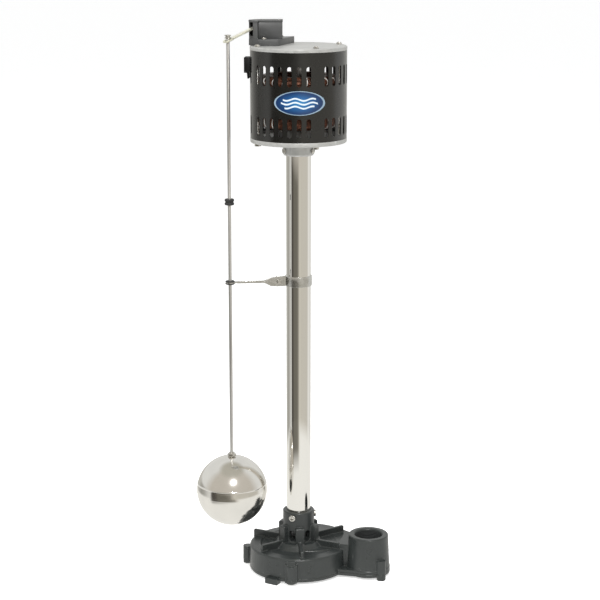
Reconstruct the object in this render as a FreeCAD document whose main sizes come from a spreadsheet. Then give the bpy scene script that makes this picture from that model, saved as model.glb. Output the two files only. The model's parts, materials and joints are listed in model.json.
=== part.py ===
"""Pedestal sump pump: a motor on a tall column, a volute base and a float switch.

Frame: millimetres, +Z up. The origin is on the column's axis at floor level, and the
discharge socket stands on +X. Angles are in degrees, anticlockwise from +X seen from above.
"""
import FreeCAD
import Part
import math
import os
import re
import Sketcher
from FreeCAD import Placement, Rotation, Vector

# --------------------------------------------------------------------------- sizes
SIZES = [
    # column and shaft
    ("column_r", 17.45), ("column_wall", 1.2), ("column_foot", 66), ("column_top", 629),
    ("shaft_r", 4.76), ("motor_shaft_r", 6.35), ("stud_r", 3.1), ("shaft_joint_z", 585),
    ("running_gap", 0.05),
    # base: heights above the floor
    ("boss_foot_z", 3), ("plate_z", 4), ("screw_seat_z", 6), ("seam_z", 9), ("spigot_z", 12),
    ("gasket_z", 12.7), ("boss_top_z", 29.5), ("roof_z", 33.5), ("shoulder_z", 36.4),
    ("deck_z", 38.2), ("neck_z", 45), ("rib_top_z", 47.8), ("window_top_z", 63), ("gusset_z", 69),
    ("collar_z", 90.3),
    # base: radii
    ("base_r", 72), ("scroll_r", 58), ("scroll_x", 10.1), ("scroll_y", 25), ("chamber_r", 57),
    ("recess_r", 64), ("strainer_r", 46), ("inlet_r", 17),
    ("collar_r", 22.85), ("drain_r", 14.5), ("bush_r", 8), ("bush_z", 48.5),
    # discharge socket
    ("outlet_x", 104.3), ("outlet_mouth_z", 60.8), ("outlet_mouth_r", 28.4), ("outlet_foot_r", 31.3),
    ("outlet_bore_r", 20), ("outlet_floor_z", 14), ("outlet_chamfer", 1.65), ("link_z", 46),
    # impeller
    ("impeller_r", 38), ("impeller_z", 14), ("shroud_z", 27.5), ("impeller_top_z", 30),
    # motor
    ("motor_r", 67), ("shell_wall", 1), ("hub_r", 22), ("hub_z", 611.2), ("lower_rim_z", 630),
    ("shell_z", 636), ("shell_top_z", 757.4), ("motor_top_z", 762.6),
    ("stack_z", 671), ("stack_top_z", 709), ("bore_r", 32), ("rotor_r", 31.6), ("winding_in_r", 36), ("winding_out_r", 54),
    ("bearing_r", 14), ("bolt_circle_r", 61), ("bolt_r", 2.4), ("slot_r", 3.2),
    # float and its rod
    ("rod_r", 2.38), ("rod_reach", 99.5), ("rod_z", 171), ("rod_top_z", 778), ("cap_z", 774.1),
    ("cap_r", 4.6), ("ball_r", 50.8), ("ball_wall", 0.8), ("ball_z", 128.7), ("lap_z", 11.5),
    ("lap_foot_z", -2.6), ("stop_r", 6.6), ("stop_z", 544.8), ("stop_top_z", 553.4),
    # guide that clamps round the column
    ("guide_z", 425.3), ("guide_top_z", 439.6), ("strap", 1.5), ("strap_gap", 0.7), ("arm_thick", 1.7),
    ("clamp_screw_x", 29), ("clamp_screw_z", 432.5), ("eye_z", 434.6), ("eye_r", 6.2),
    ("grommet_r", 6.9), ("grommet_neck_r", 4.6),
    # switch on the motor
    ("flange_top_z", 771.6), ("housing_top_z", 794.2), ("lid_top_z", 797), ("pivot_z", 789.6),
    ("pin_r", 2), ("lever_thick", 2.4), ("lever_width", 7), ("lever_boss_r", 3.2), ("snap_case", 12.4),
    ("button_r", 1.2), ("button_top_z", 790.7), ("lever_slot_in", 51.8), ("lever_slot_out", 61.2),
]
OUTLINE_TOLERANCE = 1e-9
RIBS = [(-72, 65), (-12, 65), (48, 80.5), (108, 72), (168, 72.6), (228, 65)]    # bearing, outer reach
RIB_WIDTH = 4.4
GUSSET_WIDTH = 12.4
BOSSES = [(-85, 73.5), (95, 81), (185, 75.9)]   # screw bosses round the disc: bearing, reach
OUTLET_BOSSES = [(23.5, -22), (8, 31)]          # screw bosses beside the socket, from its axis
HOUSING_BOSS_R = 6.8
PLATE_BOSS_R = 6.6
BOSS_BLOCK_DEPTH = 9            # how far a boss block starts inside its screw
DISC_BLOCK_HALF_WIDTH = 8.8
DISC_NOSE_HALF_WIDTH = 6        # the narrower part that runs on up to the shoulder
SOCKET_BLOCK_HALF_WIDTH = 7.2
FEET = [(-107, 79.5), (75, 86), (150, 79.5)]    # bearing, outer reach
# scroll link between disc and socket: its long back side is tangent to the scroll and the socket
LINK_CORNERS = [(10, 2), (66, -14), (84, -14), (120.2, 26.6), (39.9, 74.7), (10, 40)]
DUCT_CORNERS = [(62, -14), (84, -14), (84, 28), (62, 28)]       # raised block over the passage
COLLAR_SCREW_BEARINGS = [-99.2, 20.8, 140.8]
COLLAR_SCREW_Z = 82.7
COLLAR_SCREW_R = 2.05
HUB_SCREW_BEARINGS = [-136.7, -16.7, 103.3]
HUB_SCREW_Z = 618.4
COUPLING_SCREW_BEARING = 40
COUPLING_SCREW_HEIGHTS = (569, 596)
BOLT_BEARINGS = [-53.8, 36.2, 126.2, 216.2]
SLOT_PITCH = 11.25
FIRST_SLOT_BEARING = -75.9 + 2 * SLOT_PITCH + SLOT_PITCH    # first slot after a bolt's gap
LABEL_BEARING = -75.2
POWER_INLET_BEARING = -172
ROD_BEARING = 208.5
SWITCH_TURN = 13.3                      # the switch stands turned this much about the column
PIVOT_PLACE = (-54.5, 9.5)              # lever pivot, in the switch's own turned frame
LEVER_DROP = 18.5                       # lever tilt below level at rest
# outlines in the switch's turned frame
FLANGE_CORNERS = [(-56, -13), (-28, -13), (-6, 52), (-48, 40), (-60, 26), (-68.5, 4)]
HOUSING_CORNERS = [
    (-56.2, -12.2), (-54.6, -2), (-22.2, -2), (-22.2, 27.5),
    (-52, 27.5), (-60, 22), (-67.6, 14), (-68.2, 4.2)]
SWITCH_SCREWS = [(-47.5, -7.5), (-25, 41)]
LID_SCREWS = [(-26.6, 3), (-26.6, 22.5)]

doc = FreeCAD.newDocument("pedestal_sump_pump")
sheet = doc.addObject("Spreadsheet::Sheet", "Sizes")
for row, (alias, amount) in enumerate(SIZES, start=1):
    sheet.set(f"A{row}", str(amount))
    sheet.setAlias(f"A{row}", alias)
doc.recompute()
NODES = []


# --------------------------------------------------------------------------- helpers
def number(expression):
    """Value of a sheet expression such as "column_r - column_wall"."""
    return float(sheet.evalExpression(str(expression)))


def bound(expression):
    """The same expression as another object of the document has to write it."""
    return re.sub(r"[a-z_]\w*", lambda name: "Sizes." + name.group(0), str(expression))


def polar(reach, bearing, height=0.0):
    turn = math.radians(bearing)
    return Vector(reach * math.cos(turn), reach * math.sin(turn), height)


def turned_to(bearing, base=Vector()):
    return Placement(base, Rotation(Vector(0, 0, 1), bearing))


def origin_feature(body, role):
    return next(part for part in body.Origin.OriginFeatures if part.Role == role)


def new_body(label):
    body = doc.addObject("PartDesign::Body", label)
    body.Label = label
    NODES.append(body)
    return body


def keep(item, label):
    item.Label = label
    NODES.append(item)
    return item


def new_sketch(body, role, offset=Placement()):
    sketch = body.newObject("Sketcher::SketchObject", body.Name + "_sketch")
    sketch.AttachmentSupport = (origin_feature(body, role), [""])
    sketch.MapMode = "FlatFace"
    sketch.AttachmentOffset = offset
    return sketch


def level_sketch(body, height):
    """A sketch seen from above, at a height given by a sheet expression."""
    sketch = new_sketch(body, "XY_Plane", Placement(Vector(0, 0, number(height)), Rotation()))
    sketch.setExpression("AttachmentOffset.Base.z", bound(height))
    return sketch


def upright_sketch(body, bearing=0.0):
    """A sketch in the upright plane through the axis: x is the reach, y is the height."""
    return new_sketch(body, "XZ_Plane", Placement(Vector(), Rotation(Vector(0, 1, 0), bearing)))


def sideways_sketch(body, bearing):
    """A sketch in the upright plane across the bearing: x is sideways, y is the height."""
    return new_sketch(body, "YZ_Plane", Placement(Vector(), Rotation(Vector(0, 1, 0), bearing)))


def pin_point(sketch, geometry, point, x, y):
    """Hold one point of the sketch at two sheet expressions."""
    for kind, expression, axis in (("DistanceX", x, -2), ("DistanceY", y, -1)):
        amount = number(expression)
        if abs(amount) < OUTLINE_TOLERANCE:
            sketch.addConstraint(Sketcher.Constraint("PointOnObject", geometry, point, axis))
        else:
            index = sketch.addConstraint(Sketcher.Constraint(kind, -1, 1, geometry, point, amount))
            sketch.setExpression(f"Constraints[{index}]", bound(expression))


def draw_outline(sketch, corners):
    """A closed outline of straight edges whose corners are pairs of sheet expressions."""
    first = len(sketch.Geometry)
    places = [Vector(number(x), number(y), 0) for x, y in corners]
    count = len(places)
    for index in range(count):
        sketch.addGeometry(Part.LineSegment(places[index], places[(index + 1) % count]), False)
    for index in range(count):
        following = first + (index + 1) % count
        sketch.addConstraint(Sketcher.Constraint("Coincident", first + index, 2, following, 1))
    for index, (x, y) in enumerate(corners):
        pin_point(sketch, first + index, 1, x, y)


def draw_circle(sketch, radius, x=0, y=0):
    circle = Part.Circle(Vector(number(x), number(y), 0), Vector(0, 0, 1), number(radius))
    index = sketch.addGeometry(circle, False)
    constraint = sketch.addConstraint(Sketcher.Constraint("Radius", index, number(radius)))
    sketch.setExpression(f"Constraints[{constraint}]", bound(radius))
    pin_point(sketch, index, 3, x, y)


def draw_slot(sketch, radius, x, low, high):
    """An upright slot with round ends whose centres are at heights low and high."""
    first = len(sketch.Geometry)
    r = number(radius)
    middle = number(x)
    top = Part.Circle(Vector(middle, number(high), 0), Vector(0, 0, 1), r)
    foot = Part.Circle(Vector(middle, number(low), 0), Vector(0, 0, 1), r)
    sketch.addGeometry(Part.ArcOfCircle(top, 0, math.pi), False)
    down = Part.LineSegment(top.Center - Vector(r, 0, 0), foot.Center - Vector(r, 0, 0))
    sketch.addGeometry(down, False)
    sketch.addGeometry(Part.ArcOfCircle(foot, math.pi, 2 * math.pi), False)
    up = Part.LineSegment(foot.Center + Vector(r, 0, 0), top.Center + Vector(r, 0, 0))
    sketch.addGeometry(up, False)
    for index in range(4):
        following = first + (index + 1) % 4
        sketch.addConstraint(Sketcher.Constraint("Tangent", first + index, 2, following, 1))
    constraint = sketch.addConstraint(Sketcher.Constraint("Radius", first, r))
    sketch.setExpression(f"Constraints[{constraint}]", bound(radius))
    pin_point(sketch, first, 3, x, high)
    pin_point(sketch, first + 2, 3, x, low)


def pad(body, sketch, height, midplane=False):
    feature = body.newObject("PartDesign::Pad", body.Name + "_pad")
    feature.Profile = sketch
    feature.Length = number(height)
    feature.setExpression("Length", bound(height))
    feature.Midplane = midplane
    return feature


def pocket(body, sketch, depth, reverse=False, midplane=False):
    """Cut against the sketch's normal, or along it if reverse."""
    before = body.Shape.Volume
    feature = body.newObject("PartDesign::Pocket", body.Name + "_pocket")
    feature.Profile = sketch
    feature.Type = "Length"
    feature.Length = number(depth)
    feature.setExpression("Length", bound(depth))
    feature.Reversed = reverse
    feature.Midplane = midplane
    doc.recompute()
    if not body.Shape.Volume < before:
        raise RuntimeError("a pocket cut nothing in " + body.Label)
    return feature


def revolve(body, sketch):
    feature = body.newObject("PartDesign::Revolution", body.Name + "_revolution")
    feature.Profile = sketch
    feature.ReferenceAxis = (sketch, ["V_Axis"])
    feature.Angle = 360
    return feature


def groove(body, sketch):
    before = body.Shape.Volume
    feature = body.newObject("PartDesign::Groove", body.Name + "_groove")
    feature.Profile = sketch
    feature.ReferenceAxis = (sketch, ["V_Axis"])
    feature.Angle = 360
    doc.recompute()
    if not body.Shape.Volume < before:
        raise RuntimeError("a groove cut nothing in " + body.Label)
    return feature


def drill_sideways(body, bearings, radius, height):
    """Round holes from the axis outwards, one at each bearing."""
    for bearing in bearings:
        sketch = sideways_sketch(body, bearing)
        draw_circle(sketch, radius, 0, height)
        pocket(body, sketch, 30, reverse=True)


def polar_pattern(body, feature, count, angle=360):
    pattern = body.newObject("PartDesign::PolarPattern", body.Name + "_pattern")
    pattern.Originals = [feature]
    pattern.Axis = (origin_feature(body, "Z_Axis"), [""])
    pattern.Angle = angle
    pattern.Occurrences = count
    body.Tip = pattern
    doc.recompute()
    return pattern


def turned(label, corners, placement=Placement()):
    """A sub-part turned about its own Z axis from an outline of (radius, height)."""
    body = new_body(label)
    sketch = upright_sketch(body)
    draw_outline(sketch, corners)
    revolve(body, sketch)
    body.Placement = placement
    doc.recompute()
    return body


def tube_outline(outer, inner, low, high):
    return [(inner, low), (outer, low), (outer, high), (inner, high)]


def cylinder(radius, height, placement=Placement()):
    item = doc.addObject("Part::Cylinder", "cylinder")
    item.setExpression("Radius", bound(radius))
    item.setExpression("Height", bound(height))
    item.Placement = placement
    return item


def box(length, width, height, placement=Placement()):
    """A block that stands on its placement, centred on it in X and Y."""
    item = doc.addObject("Part::Box", "block")
    item.setExpression("Length", bound(length))
    item.setExpression("Width", bound(width))
    item.setExpression("Height", bound(height))
    middle = Placement(Vector(-number(length) / 2, -number(width) / 2, 0), Rotation())
    item.Placement = placement.multiply(middle)
    return item


def cut(base, tool):
    item = doc.addObject("Part::Cut", "cut")
    item.Base = base
    item.Tool = tool
    return item


def fuse(*items):
    item = doc.addObject("Part::MultiFuse", "fusion")
    item.Shapes = list(items)
    return item


def group(label, shape_maker, placements):
    """Several equal solids in one node."""
    item = doc.addObject("Part::Feature", label)
    copies = []
    for placement in placements:
        copy = shape_maker()
        copy.Placement = placement.multiply(copy.Placement)
        copies.append(copy)
    item.Shape = Part.makeCompound(copies)
    return keep(item, label)


def screw(head_r, head_height, shank_r, shank_length, recess_r=0.0, recess_depth=0.0):
    """A pan-head screw: the head stands on z = 0 and the shank hangs below it."""
    head = Part.makeCylinder(head_r, head_height)
    rim = [edge for edge in head.Edges if edge.CenterOfMass.z > 0.9 * head_height and edge.Closed]
    head = head.makeFillet(min(0.45 * head_height, 0.3 * head_r), rim[:1])
    shank = Part.makeCylinder(shank_r, shank_length, Vector(0, 0, -shank_length))
    solid = head.fuse(shank)
    if recess_r:
        blade = Part.makeBox(2 * recess_r, 0.9, recess_depth + 1)
        blade.translate(Vector(-recess_r, -0.45, head_height - recess_depth))
        cross = blade.copy()
        cross.rotate(Vector(), Vector(0, 0, 1), 90)
        solid = solid.cut(blade).cut(cross)
    return solid.removeSplitter()


def hexagon(across_flats, height, bore_r=0.0):
    """A nut standing on z = 0."""
    reach = across_flats / math.sqrt(3)
    corners = [polar(reach, 60 * index) for index in range(7)]
    nut = Part.Face(Part.makePolygon(corners)).extrude(Vector(0, 0, height))
    if bore_r:
        nut = nut.cut(Part.makeCylinder(bore_r, height))
    return nut


def pointing(direction, base):
    """A placement at base whose Z axis points along direction."""
    return Placement(base, Rotation(Vector(0, 0, 1), direction))


# --------------------------------------------------------------------------- base
def keyhole_pad(body, height_low, height):
    """The base's outline: disc, scroll bulge, socket foot, and the web that joins them."""
    rounds = (
        ("base_r", 0, 0),
        ("scroll_r", "scroll_x", "scroll_y"),
        ("outlet_foot_r + 0.5", "outlet_x", 0))
    for radius, x, y in rounds:
        sketch = level_sketch(body, height_low)
        draw_circle(sketch, radius, x, y)
        pad(body, sketch, height)
    web = [(40, "2 - outlet_foot_r"), ("outlet_x", "2 - outlet_foot_r"), ("outlet_x", 20), (40, 20)]
    for corners in (web, LINK_CORNERS):
        sketch = level_sketch(body, height_low)
        draw_outline(sketch, corners)
        pad(body, sketch, height)


def make_volute_housing():
    body = new_body("volute_housing")
    sketch = upright_sketch(body)
    draw_outline(sketch, [
        (0, "seam_z"), ("base_r + 0.3", "seam_z"), ("base_r - 0.8", "shoulder_z"),
        ("base_r - 2.4", "deck_z"), (57, "deck_z + 0.6"), (55.6, "deck_z + 0.6"),
        (54.6, "deck_z - 1.6"), (38, "deck_z - 1.6"), (31, "neck_z - 0.5"), ("collar_r", "neck_z"),
        ("collar_r", "collar_z - 1"), ("collar_r - 1", "collar_z"), (0, "collar_z")])
    revolve(body, sketch)
    keyhole_pad(body, "seam_z", 4)
    # socket, as a cone about its own axis
    sketch = new_sketch(body, "XZ_Plane")
    draw_outline(sketch, [
        ("outlet_x", "seam_z"), ("outlet_x + outlet_foot_r", "seam_z"),
        ("outlet_x + outlet_mouth_r + 0.3", "outlet_mouth_z - 1"),
        ("outlet_x + outlet_mouth_r - 0.7", "outlet_mouth_z"), ("outlet_x", "outlet_mouth_z")])
    outlet_x = number("outlet_x")
    axis = Part.LineSegment(Vector(outlet_x, 0, 0), Vector(outlet_x, number("outlet_mouth_z"), 0))
    sketch.addGeometry(axis, True)
    socket = revolve(body, sketch)
    socket.ReferenceAxis = (sketch, ["Axis0"])
    # scroll bulge, the link to the socket and the raised duct
    sketch = level_sketch(body, "seam_z")
    draw_circle(sketch, "scroll_r", "scroll_x", "scroll_y")
    pad(body, sketch, "deck_z - seam_z")
    for corners, top in ((LINK_CORNERS, "deck_z"), (DUCT_CORNERS, "link_z")):
        sketch = level_sketch(body, "seam_z")
        draw_outline(sketch, corners)
        pad(body, sketch, f"{top} - seam_z")
    make_ribs_and_bosses(body)
    cut_housing_inside(body)
    doc.recompute()


def make_ribs_and_bosses(body):
    """Six ribs, six gusset blocks round the neck, and the screw bosses."""
    for bearing, end in RIBS:
        sketch = upright_sketch(body, bearing)
        draw_outline(sketch, [(20, "roof_z + 1"), (end, "roof_z + 1"), (end, "rib_top_z - 0.8"),
                              (end - 1.2, "rib_top_z"), (20, "rib_top_z")])
        pad(body, sketch, RIB_WIDTH, midplane=True)
    sketch = upright_sketch(body, RIBS[0][0])
    draw_outline(sketch, [(16, "neck_z - 4"), (29.6, "neck_z - 4"), (29.6, "gusset_z - 1"),
                          (28.6, "gusset_z"), (16, "gusset_z")])
    block = pad(body, sketch, GUSSET_WIDTH, midplane=True)
    doc.recompute()
    polar_pattern(body, block, len(RIBS))
    for centre in base_screw_places():
        sketch = level_sketch(body, "seam_z")
        draw_circle(sketch, HOUSING_BOSS_R, centre.x, centre.y)
        pad(body, sketch, "boss_top_z - seam_z")
    bearing, reach = BOSSES[0]
    boss_surrounds(body, "seam_z", "boss_top_z + 2", "boss_top_z - 2")
    sketch = level_sketch(body, "seam_z")
    nose = block_corners(bearing, reach - BOSS_BLOCK_DEPTH, reach + 0.8, DISC_NOSE_HALF_WIDTH)
    draw_outline(sketch, nose)
    pad(body, sketch, "shoulder_z - 0.6 - seam_z")


def cut_housing_inside(body):
    """Column socket, drain windows, impeller chamber, scroll passage and threaded bore."""
    sketch = upright_sketch(body)
    draw_outline(sketch, [(0, "bush_z"), ("drain_r", "bush_z"), ("drain_r", "column_foot"),
                          ("column_r + 0.02", "column_foot"), ("column_r + 0.02", "collar_z + 1"),
                          (0, "collar_z + 1")])
    groove(body, sketch)
    sketch = level_sketch(body, "bush_z + 1")
    draw_circle(sketch, "bush_r")
    pocket(body, sketch, "bush_z - roof_z + 3")
    sketch = level_sketch(body, "gasket_z")
    draw_circle(sketch, "recess_r")
    pocket(body, sketch, "gasket_z - seam_z + 1")
    sketch = level_sketch(body, "roof_z")
    draw_circle(sketch, "chamber_r", 4, 3.5)
    pocket(body, sketch, "roof_z - seam_z")
    sketch = level_sketch(body, "roof_z - 1")
    draw_outline(sketch, [(30, 2), ("outlet_x", 2), ("outlet_x", 19), (55, 40), (30, 46)])
    pocket(body, sketch, "roof_z - outlet_floor_z - 1")
    sketch = level_sketch(body, "outlet_mouth_z + 1")
    draw_circle(sketch, "outlet_bore_r", "outlet_x", 0)
    pocket(body, sketch, "outlet_mouth_z + 1 - outlet_floor_z")
    doc.recompute()
    mouth = body.newObject("PartDesign::SubtractiveCone", "mouth_chamfer")
    mouth.setExpression("Radius1", bound("outlet_bore_r"))
    mouth.setExpression("Radius2", bound("outlet_bore_r + outlet_chamfer + 0.2"))
    mouth.setExpression("Height", bound("outlet_chamfer + 0.2"))
    mouth.Placement = Placement(
        Vector(number("outlet_x"), 0, number("outlet_mouth_z - outlet_chamfer")), Rotation())
    doc.recompute()
    # drain windows, half way between the gussets
    sketch = sideways_sketch(body, RIBS[0][0] - 30)
    draw_slot(sketch, 4.5, 0, "bush_z + 2.6", "window_top_z - 4.5")
    window = pocket(body, sketch, "collar_r + 10", reverse=True)
    polar_pattern(body, window, len(RIBS))
    # holes: screws that hold the column, and the base screws from below
    drill_sideways(body, COLLAR_SCREW_BEARINGS, COLLAR_SCREW_R, COLLAR_SCREW_Z)
    for centre in base_screw_places():
        sketch = level_sketch(body, "seam_z + 15")
        draw_circle(sketch, 1.65, centre.x, centre.y)
        pocket(body, sketch, 16)


def block_corners(bearing, near, far, half_width):
    """Corners of a block that points along a bearing, from one reach to another."""
    block = [(near, -half_width), (far, -half_width), (far, half_width), (near, half_width)]
    turned_block = [turned_to(bearing).multVec(Vector(x, y, 0)) for x, y in block]
    return [(place.x, place.y) for place in turned_block]


def boss_surrounds(body, foot, disc_top, socket_top):
    """Flat-sided blocks behind the front screw boss of the disc and the one beside the socket."""
    bearing, reach = BOSSES[0]
    disc_block = block_corners(
        bearing, reach - BOSS_BLOCK_DEPTH, reach + 2.6, DISC_BLOCK_HALF_WIDTH)
    ahead, aside = OUTLET_BOSSES[0]
    socket_bearing = math.degrees(math.atan2(aside, ahead))
    socket_reach = math.hypot(ahead, aside)
    socket_corners = block_corners(
        socket_bearing, socket_reach - BOSS_BLOCK_DEPTH, socket_reach + 1, SOCKET_BLOCK_HALF_WIDTH)
    outlet_x = number("outlet_x")
    socket_block = [(outlet_x + x, y) for x, y in socket_corners]
    for corners, top in ((disc_block, disc_top), (socket_block, socket_top)):
        sketch = level_sketch(body, foot)
        draw_outline(sketch, corners)
        pad(body, sketch, f"{top} - {foot}")


def base_screw_places():
    disc = [polar(reach, bearing) for bearing, reach in BOSSES]
    return disc + [Vector(number("outlet_x") + ahead, aside, 0) for ahead, aside in OUTLET_BOSSES]


def make_base_plate():
    """Plate under the housing; the bosses beside the socket reach the floor as feet."""
    body = new_body("base_plate")
    keyhole_pad(body, "plate_z", "seam_z - plate_z")
    sketch = level_sketch(body, "seam_z")
    draw_circle(sketch, "recess_r - 0.3")
    pad(body, sketch, "spigot_z - seam_z")
    for index, centre in enumerate(base_screw_places()):
        foot = "boss_foot_z" if index < len(BOSSES) else "0"
        sketch = level_sketch(body, foot)
        draw_circle(sketch, PLATE_BOSS_R, centre.x, centre.y)
        pad(body, sketch, f"seam_z - {foot}")
    boss_surrounds(body, "plate_z", "seam_z", "seam_z")
    for bearing, reach in FEET:
        sketch = level_sketch(body, 0)
        draw_outline(sketch, block_corners(bearing, reach - 12, reach, 10))
        pad(body, sketch, "seam_z - 0.5")
    doc.recompute()
    sketch = level_sketch(body, "seam_z")
    draw_circle(sketch, "strainer_r + 0.2")
    pocket(body, sketch, "seam_z")
    sketch = level_sketch(body, "spigot_z + 1")
    draw_circle(sketch, "inlet_r")
    pocket(body, sketch, "spigot_z + 1")
    for centre in base_screw_places():
        for radius, top in ((2.1, "seam_z + 1"), (4.2, "screw_seat_z")):
            sketch = level_sketch(body, top)
            draw_circle(sketch, radius, centre.x, centre.y)
            pocket(body, sketch, top)
    doc.recompute()


def make_strainer():
    """A round grille let into the underside of the base plate."""
    body = new_body("suction_strainer")
    sketch = level_sketch(body, "plate_z + 0.4")
    draw_circle(sketch, "strainer_r")
    pad(body, sketch, 2.6)
    doc.recompute()
    for reach, slots in ((14, 8), (25, 12), (36, 16)):
        sketch = level_sketch(body, "plate_z + 4")
        draw_outline(sketch, [(reach - 4, -2), (reach + 4, -2), (reach + 4, 2), (reach - 4, 2)])
        opening = pocket(body, sketch, 4)
        polar_pattern(body, opening, slots)


def make_base():
    make_volute_housing()
    make_base_plate()
    make_strainer()
    turned("casing_gasket", tube_outline("recess_r - 0.4", "recess_r - 3", "spigot_z", "gasket_z"))
    group("base_screws", lambda: screw(4, 2.4, 1.65, 17, 2.2, 1.2),
          [pointing(Vector(0, 0, -1), place + Vector(0, 0, number("screw_seat_z")))
           for place in base_screw_places()])
    collar_face = number("collar_r")
    group("collar_screws", lambda: screw(4.9, 2.6, COLLAR_SCREW_R, 6.5, 2.6, 1.3),
          [pointing(polar(1, bearing), polar(collar_face, bearing, COLLAR_SCREW_Z))
           for bearing in COLLAR_SCREW_BEARINGS])
    turned("lower_sleeve_bearing", [
        ("shaft_r + running_gap", "roof_z - 0.5"), ("bush_r", "roof_z - 0.5"), ("bush_r", "bush_z"),
        ("bush_r + 2.5", "bush_z"), ("bush_r + 2.5", "bush_z + 2"),
        ("shaft_r + running_gap", "bush_z + 2")])


# --------------------------------------------------------------------------- pump rotor and column
def make_impeller():
    body = new_body("impeller")
    sketch = upright_sketch(body)
    draw_outline(sketch, [
        ("shaft_r", "impeller_z + 4"), (8, "impeller_z + 4"), (10, "shroud_z"),
        ("impeller_r", "shroud_z"), ("impeller_r", "shroud_z + 2"),
        (11, "impeller_top_z"), (9, "impeller_top_z + 2"),
        ("shaft_r", "impeller_top_z + 2")])
    revolve(body, sketch)
    doc.recompute()
    vane_r = 26.0
    vane_thick = 2.4
    sketch = level_sketch(body, "impeller_z")
    centre = Vector(10, 21, 0)
    outer = Part.Circle(centre, Vector(0, 0, 1), vane_r)
    inner = Part.Circle(centre, Vector(0, 0, 1), vane_r - vane_thick)
    start = math.radians(262)
    stop = math.radians(332)
    arcs = [Part.ArcOfCircle(outer, start, stop), Part.ArcOfCircle(inner, start, stop)]
    for arc in arcs:
        sketch.addGeometry(arc, False)
    sketch.addGeometry(Part.LineSegment(arcs[0].StartPoint, arcs[1].StartPoint), False)
    sketch.addGeometry(Part.LineSegment(arcs[0].EndPoint, arcs[1].EndPoint), False)
    for index in range(4):
        sketch.addConstraint(Sketcher.Constraint("Block", index))
    vane = pad(body, sketch, "shroud_z - impeller_z + 1")
    doc.recompute()
    polar_pattern(body, vane, 6)


def make_column():
    tube = tube_outline("column_r", "column_r - column_wall", "column_foot", "column_top")
    body = turned("column_tube", tube)
    drill_sideways(body, COLLAR_SCREW_BEARINGS, COLLAR_SCREW_R, COLLAR_SCREW_Z)
    turned("pump_shaft", [
        (0, "impeller_z - 1"), ("stud_r", "impeller_z - 1"), ("stud_r", "impeller_z + 4"),
        ("shaft_r", "impeller_z + 4"), ("shaft_r", "shaft_joint_z"), (0, "shaft_joint_z")])
    make_impeller()
    nut = doc.addObject("Part::Feature", "impeller_nut")
    nut.Shape = hexagon(11, 3.6, number("stud_r"))
    nut.Placement = Placement(Vector(0, 0, number("impeller_z") + 0.3), Rotation())
    keep(nut, "impeller_nut")
    body = turned("shaft_coupling", tube_outline(9, "shaft_r", 560, 604))
    for height in COUPLING_SCREW_HEIGHTS:
        drill_sideways(body, [COUPLING_SCREW_BEARING], 1.6, height)
    outward = polar(1, COUPLING_SCREW_BEARING)
    group("coupling_screws", lambda: Part.makeCylinder(1.6, 3.4, Vector(0, 0, -3.6)),
          [pointing(outward, polar(9, COUPLING_SCREW_BEARING, height))
           for height in COUPLING_SCREW_HEIGHTS])
    # steady bearing half way up the column
    disc = tube_outline("column_r - column_wall - 0.1", "shaft_r + running_gap", 338, 350)
    body = turned("steady_bearing", disc)
    sketch = level_sketch(body, 355)
    draw_circle(sketch, 3, 11.2, 0)
    drain = pocket(body, sketch, 20)
    polar_pattern(body, drain, 4)


# --------------------------------------------------------------------------- motor
def make_end_bells():
    body = turned("lower_end_bell", [
        ("column_r + 0.02", "hub_z"), ("hub_r - 1.6", "hub_z"), ("hub_r", "hub_z + 2.2"),
        ("hub_r", "lower_rim_z - 2"), ("hub_r + 3", "lower_rim_z"), ("motor_r - 0.6", "lower_rim_z"),
        ("motor_r + 0.2", "lower_rim_z + 1"), ("motor_r + 0.2", "shell_z"),
        ("motor_r - shell_wall - 0.1", "shell_z"), ("motor_r - shell_wall - 0.1", "shell_z + 3"),
        ("motor_r - 4", "shell_z + 3"), ("motor_r - 5", "shell_z"), ("bearing_r + 4", "shell_z"),
        ("bearing_r + 4", 646), ("bearing_r", 646), ("bearing_r", 637), (8, 637),
        (8, "column_top"), ("column_r + 0.02", "column_top")])
    drill_sideways(body, HUB_SCREW_BEARINGS, 2.45, HUB_SCREW_Z)
    drill_bolt_circle(body, 640)
    body = turned("upper_end_bell", [
        (0, "motor_top_z"), ("motor_r - 0.8", "motor_top_z"), ("motor_r + 0.2", "motor_top_z - 1"),
        ("motor_r + 0.2", "shell_top_z"), ("motor_r - shell_wall - 0.1", "shell_top_z"),
        ("motor_r - shell_wall - 0.1", "shell_top_z - 3"), ("motor_r - 4", "shell_top_z - 3"),
        ("motor_r - 5", "motor_top_z - 3.2"), ("bearing_r + 4", "motor_top_z - 3.2"),
        ("bearing_r + 4", 746), ("bearing_r", 746), ("bearing_r", 756), (0, 756)])
    drill_bolt_circle(body, 770)
    for x, y in SWITCH_SCREWS:
        centre = switch_frame(x, y).Base
        sketch = level_sketch(body, 770)
        draw_circle(sketch, 2.0, centre.x, centre.y)
        pocket(body, sketch, 12)


def drill_bolt_circle(body, top):
    for bearing in BOLT_BEARINGS:
        centre = polar(number("bolt_circle_r"), bearing)
        sketch = level_sketch(body, top)
        draw_circle(sketch, "bolt_r + 0.2", centre.x, centre.y)
        pocket(body, sketch, 20)


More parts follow.
